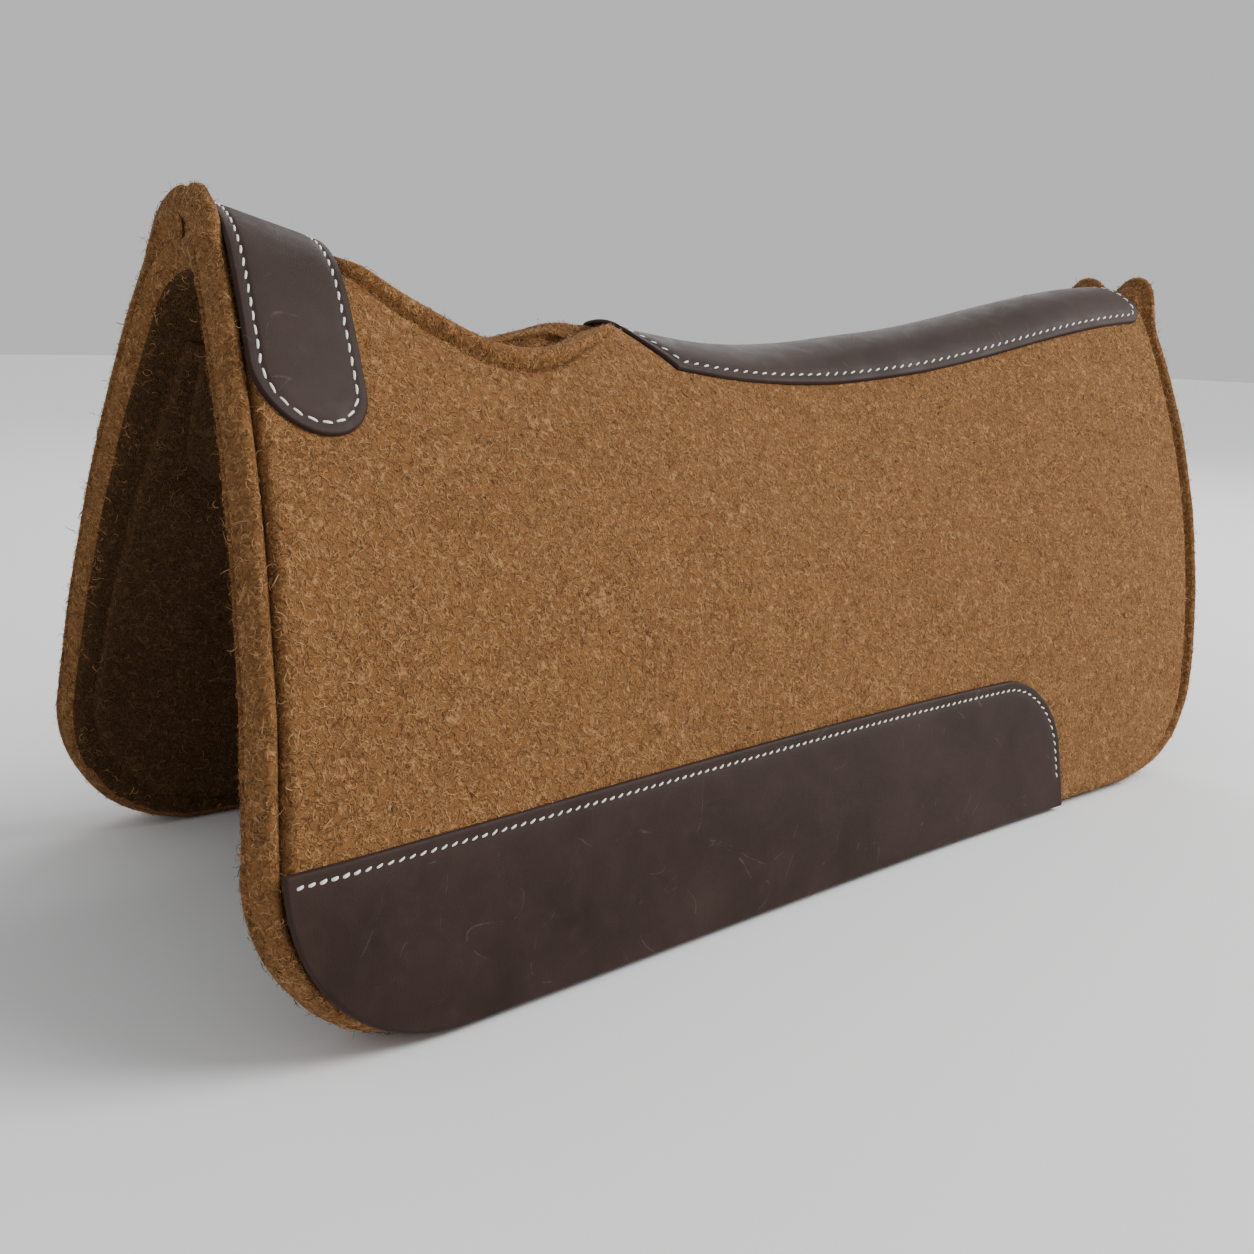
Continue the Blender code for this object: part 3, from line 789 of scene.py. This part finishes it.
def make_spine_leather():
    turn = STRIP_HALF - STRIP_CORNER * (1.0 - np.sin(np.linspace(0.0, 0.5 * math.pi, 12)))
    half = np.concatenate([np.linspace(0.0, STRIP_HALF - STRIP_CORNER, 20, endpoint=False), turn])
    stations = np.concatenate([-half[:0:-1], half])
    rows = []
    for s in stations:
        first, last = strip_ends(s)
        rows.append(spread(first, last, int((STRIP_END - STRIP_START) / STEP), 0.008, 9))
    x = np.array(rows)
    s = np.repeat(stations[:, None], x.shape[1], axis=1)
    face = LEATHER_BASE + hide_profile(np.clip(strip_distance(x, s), 0.0, None))
    piece = make_leather("spine_strip", x, s, face, across, 1.0)
    finish_crossing(piece, "spine_leather")


def finish_crossing(piece, node_name):
    """A piece over the crest: its CAD node is hidden and it keeps its place, tied to neither flank."""
    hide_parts(node_name)
    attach(piece, LEFT)
    piece.parent = None
    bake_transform(piece)


def panel_front(level):
    """x of the outer panel's and the wear leather's front edge at a level over the floor."""
    share = 1.0 - level / FLANK_LENGTH[0]
    return front_edge(share) + 0.009


def wear_bounds(level):
    first = panel_front(level) + float(corner_inset(FRONT_CORNER, level - PANEL_BOTTOM))
    last = WEAR_END - float(corner_inset(WEAR_CORNER, WEAR_HEIGHT - level))
    return first, last


def make_wear_leather(name, node_name, side, body):
    turn = WEAR_HEIGHT - WEAR_CORNER * (1.0 - np.sin(np.linspace(0.0, 0.5 * math.pi, 18)))
    rise = WEAR_HEIGHT - WEAR_CORNER - PANEL_BOTTOM
    low = PANEL_BOTTOM + rise * np.linspace(0.0, 1.0, 22, endpoint=False) ** 1.6
    levels = np.concatenate([low, turn])[::-1]
    xs, ts, ds, plain = [], [], [], []
    for level in levels:
        first, last = wear_bounds(level)
        x = spread(first, last, int(WEAR_END / STEP), 0.008, 9)
        t = np.array([reach_of_level(place, LEATHER_BASE, level) for place in x])
        back = corner_distance(WEAR_CORNER, WEAR_END - x, WEAR_HEIGHT - level)
        front = corner_distance(FRONT_CORNER, x - panel_front(level), level - PANEL_BOTTOM)
        plain.append(front < back)
        xs.append(x)
        ts.append(t)
        ds.append(np.clip(np.minimum(front, back), 0.0, None))
    x, t, d = np.array(xs), np.array(ts), np.array(ds)
    stitched = np.where(t < t.max(axis=0) - 0.02, d, np.maximum(d, 0.02))
    face = LEATHER_BASE + hide_profile(np.where(d < 0.0015, d, stitched))
    face += stitch_groove(stitched) * np.array(plain)
    face += wander(x, t, 25.0, 31) * 0.0004 * smooth(d, 0.0, 0.03)
    from_stitches = t - t.min(axis=0) - STITCH_INSET
    face -= 0.0004 * np.exp(-((from_stitches - 0.0125) / 0.0011) ** 2) * (x < 0.30)
    piece = make_leather(name, x, t, face, lay, side)
    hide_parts(node_name)
    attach(piece, body)


# ---------------------------------------------------------------- stitches

def resample(path, pitch):
    """Walks a dense 3-D path in whole stitches; returns the places where stitches begin and end."""
    steps = np.linalg.norm(np.diff(path, axis=0), axis=1)
    travelled = np.concatenate([[0.0], np.cumsum(steps)])
    count = max(int(round(travelled[-1] / pitch)), 1)
    return travelled, np.linspace(0.0, travelled[-1], count + 1)


def at(path, travelled, place):
    return np.stack([np.interp(place, travelled, path[:, k]) for k in range(3)], axis=-1)


STITCH_SIDES = 7
STITCH_RINGS = 8
# Of each row: pitch, share of the pitch in sight, radius and slant
WITHER_ROW = (0.0073, 0.78, 0.00062, 0.10)
SPINE_ROW = (0.0078, 0.68, 0.00062, -0.26)
WEAR_FIRST_ROW = (0.0055, 0.80, 0.00082, 0.16)
WEAR_ROW = (0.0055, 0.72, 0.00058, 0.24)


def stitch_tubes(path, normals, pitch, filled, radius, slant, seed):
    """Points and faces of one row of stitches: each dives into the leather at both ends."""
    rng = np.random.default_rng(seed)
    travelled, marks = resample(path, pitch)
    points, faces = [], []
    angles = np.linspace(0.0, 2.0 * math.pi, STITCH_SIDES, endpoint=False)
    for start, stop in zip(marks[:-1], marks[1:]):
        span = stop - start
        share = np.linspace(0.0, 1.0, STITCH_RINGS)
        place = start + span * (0.5 + filled * (share - 0.5))
        centre = at(path, travelled, place)
        up = at(normals, travelled, place)
        up /= np.linalg.norm(up, axis=1, keepdims=True)
        ahead = np.gradient(centre, axis=0)
        ahead /= np.linalg.norm(ahead, axis=1, keepdims=True)
        side = np.cross(ahead, up)
        lean = slant + rng.normal() * 0.05
        arch = np.sin(math.pi * np.clip(share * 1.12 - 0.06, 0.0, 1.0)) ** 0.45
        fat = radius * (0.55 + 0.45 * arch) * rng.uniform(0.93, 1.07)
        centre = centre + up * (radius * (1.35 * arch - 1.05))[:, None]
        centre = centre + side * ((share - 0.5) * span * lean)[:, None]
        base = len(points) * STITCH_SIDES
        for k in range(STITCH_RINGS):
            round_it = np.cos(angles)[:, None] * side[k] + 0.8 * np.sin(angles)[:, None] * up[k]
            points.append(centre[k] + fat[k] * round_it)
        for k in range(STITCH_RINGS - 1):
            for i in range(STITCH_SIDES):
                j = (i + 1) % STITCH_SIDES
                a = base + k * STITCH_SIDES
                b = a + STITCH_SIDES
                faces.append((a + i, a + j, b + j, b + i))
        faces.append(tuple(base + i for i in reversed(range(STITCH_SIDES))))
        far = base + (STITCH_RINGS - 1) * STITCH_SIDES
        faces.append(tuple(far + i for i in range(STITCH_SIDES)))
    return np.concatenate(points), faces


def place_line(line, placer, side=1.0):
    """A line of (x, t or s) on a leather's face, with the outward directions there."""
    x, t = np.array(line).T
    low = placer(x, t, LEATHER_BASE + LEATHER_THICKNESS - 0.0007)
    high = placer(x, t, LEATHER_BASE + LEATHER_THICKNESS + 0.0093)
    flip = np.array((1.0, side, 1.0))
    return low * flip, (high - low) * flip


def make_stitches(name, lines):
    """lines are (path, normals, pitch, share of the pitch in sight, radius, slant)."""
    points, faces = [], []
    for seed, (path, normals, pitch, filled, radius, slant) in enumerate(lines):
        more, quads = stitch_tubes(path, normals, pitch, filled, radius, slant, seed)
        start = sum(len(p) for p in points)
        points.append(more)
        faces += [tuple(start + i for i in quad) for quad in quads]
    piece = new_mesh(name, np.concatenate(points), faces, thread)
    return piece


def dense(points, count):
    """A polyline made dense, so that it follows the curved face between its corners."""
    points = np.array(points, float)
    steps = np.concatenate([[0.0], np.cumsum(np.linalg.norm(np.diff(points, axis=0), axis=1))])
    places = np.linspace(0.0, steps[-1], count)
    return np.stack([np.interp(places, steps, points[:, k]) for k in range(2)], axis=1)


def quarter_turn(end, top, radius, angles):
    """Points round a corner whose two sides are at end and top."""
    return [(end - radius + radius * math.sin(a), top - radius * (1.0 - math.cos(a)))
            for a in angles]


def make_wither_stitches():
    radius = 0.5 * STRAP_WIDTH - STITCH_INSET
    straight = STRAP_DROP - 0.5 * STRAP_WIDTH
    turn = np.linspace(0.0, math.pi, 40)
    right = [(-radius * math.cos(a), straight + radius * math.sin(a)) for a in turn]
    left = [(radius * math.cos(a), -straight - radius * math.sin(a)) for a in turn]
    loop = dense(right + left + right[:1], 900)
    loop[:, 0] += strap_middle(loop[:, 1])
    path, normals = place_line(loop, across)
    piece = make_stitches("wither_stitches", [(path, normals, *WITHER_ROW)])
    finish_crossing(piece, "wither_stitching")


def make_spine_stitches():
    half = STRIP_HALF - STITCH_INSET
    cut = half - STRIP_CUT * CUT_SLOPE
    turn = np.linspace(0.0, 0.5 * math.pi, 14)
    corner = STRIP_CORNER - STITCH_INSET
    end = STRIP_END - STITCH_INSET
    start = STRIP_START + STITCH_INSET
    right = [(start, 0.0), (start, cut), (start + STRIP_CUT, half), (end - corner, half)]
    right += quarter_turn(end, half, corner, turn)
    right += [(end, 0.0)]
    left = [(x, -s) for x, s in reversed(right)]
    loop = dense(right + left[1:], 1600)
    path, normals = place_line(loop, across)
    piece = make_stitches("spine_stitches", [(path, normals, *SPINE_ROW)])
    finish_crossing(piece, "spine_stitching")


def make_wear_stitches(name, node_name, side, body):
    level = WEAR_HEIGHT - STITCH_INSET
    radius = WEAR_CORNER - STITCH_INSET
    end = WEAR_END - STITCH_INSET
    line = [(panel_front(level) + 0.004, level), (end - radius, level)]
    turn = np.linspace(0.0, 0.5 * math.pi, 20)
    line += quarter_turn(end, level, radius, turn)
    line += [(end, 0.006)]
    places = dense(line, 900)
    flat = [(x, reach_of_level(x, LEATHER_BASE, z)) for x, z in places]
    path, normals = place_line(flat, lay, side)
    *first_row, first_slant = WEAR_FIRST_ROW
    *row, slant = WEAR_ROW
    first = 46
    lines = [(path[:first + 1], normals[:first + 1], *first_row, first_slant * side),
             (path[first:], normals[first:], *row, slant * side)]
    piece = make_stitches(name, lines)
    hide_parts(node_name)
    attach(piece, body)


# ---------------------------------------------------------------- stage

# Place in the layout, turns in radians, and focal length in pixels of the whole frame
CAMERA = dict(x=-0.2120, y=-0.6417, z=0.3147, yaw=0.6448, pitch=0.2296, roll=0.0265, focal=1300.8)
FRAME_PIXELS = 1254.0
SENSOR = 36.0


def make_camera():
    data = bpy.data.cameras.new("camera")
    data.sensor_width = SENSOR
    data.lens = CAMERA["focal"] / FRAME_PIXELS * SENSOR
    data.clip_start = 0.02
    yaw, pitch, roll = CAMERA["yaw"], CAMERA["pitch"], CAMERA["roll"]
    level = Vector((math.sin(yaw), math.cos(yaw), 0.0))
    ahead = level * math.cos(pitch) + Vector((0.0, 0.0, -math.sin(pitch)))
    up = level * math.sin(pitch) + Vector((0.0, 0.0, math.cos(pitch)))
    side = Vector((math.cos(yaw), -math.sin(yaw), 0.0))
    right = side * math.cos(roll) + up * math.sin(roll)
    above = up * math.cos(roll) - side * math.sin(roll)
    turned = Matrix((right, above, -ahead)).transposed().to_4x4()
    place = Vector((CAMERA["x"] + SHIFT, CAMERA["y"], CAMERA["z"]))
    camera = bpy.data.objects.new("camera", data)
    camera.matrix_world = Matrix.Translation(place) @ turned
    bpy.context.scene.collection.objects.link(camera)
    bpy.context.scene.camera = camera


def area_light(name, place, target, size, power):
    data = bpy.data.lights.new(name, "AREA")
    data.shape = "DISK"
    data.size = size
    data.energy = power
    lamp = bpy.data.objects.new(name, data)
    lamp.location = place
    lamp.rotation_euler = (Vector(target) - Vector(place)).to_track_quat("-Z", "Y").to_euler()
    bpy.context.scene.collection.objects.link(lamp)


def make_stage():
    material, tree, shader = tree_of("pale_floor")
    shader.inputs["Base Color"].default_value = (0.86, 0.86, 0.86, 1.0)
    shader.inputs["Roughness"].default_value = 0.9
    half = 9.0
    corners = [(-half, -half, 0.0), (half, -half, 0.0), (half, half, 0.0), (-half, half, 0.0)]
    new_mesh("floor", np.array(corners), [(0, 1, 2, 3)], material)
    world = bpy.data.worlds.new("studio")
    world.use_nodes = True
    world.node_tree.nodes["Background"].inputs["Color"].default_value = (1.0, 1.0, 1.0, 1.0)
    world.node_tree.nodes["Background"].inputs["Strength"].default_value = 0.62
    bpy.context.scene.world = world
    area_light("key", (1.8, -1.45, 1.5), (0.05, 0.0, 0.1), 1.2, 50.0)
    area_light("back", (1.5, 1.5, 1.5), (0.0, 0.0, 0.2), 1.6, 18.0)
    sun = bpy.data.lights.new("window", "SUN")
    sun.energy = 1.5
    sun.angle = 0.55
    lamp = bpy.data.objects.new("window", sun)
    lamp.rotation_euler = Vector((-0.72, 0.48, -0.85)).to_track_quat("-Z", "Y").to_euler()
    bpy.context.scene.collection.objects.link(lamp)


make_camera()
make_stage()
for word, side, body in (("left", -1.0, LEFT), ("right", 1.0, RIGHT)):
    make_core(f"core_{word}", f"core_felt_{word}", side)
    make_outer_panel(f"panel_{word}", f"outer_panel_{word}", side)
    make_liner(f"liner_{word}", f"inner_panel_{word}", side, body)
    make_patch(f"patch_{word}", f"wither_patch_{word}", side, body)
    make_wear_leather(f"wear_{word}", f"wear_leather_{word}", side, body)
    make_wear_stitches(f"wear_stitches_{word}", f"wear_stitching_{word}", side, body)
FIBRE_COUNT = 24000
for word in ("left", "right"):
    make_fuzz(f"fuzz_{word}", (f"core_{word}", f"panel_{word}"), FIBRE_COUNT, 0.0050, 0.0010, 2.5,
              fibres, (0.30, 0.35, 0.35), 41)
    # The liner's fibres carry the same painted shade as the liner felt
    make_fuzz(f"liner_fuzz_{word}", (f"liner_{word}",), FIBRE_COUNT // 3, 0.0060, 0.0012, 1.5,
              liner_fibres_painted_shade, (0.5, 0.5), 43)
make_wither_leather()
make_wither_stitches()
make_spine_leather()
make_spine_stitches()
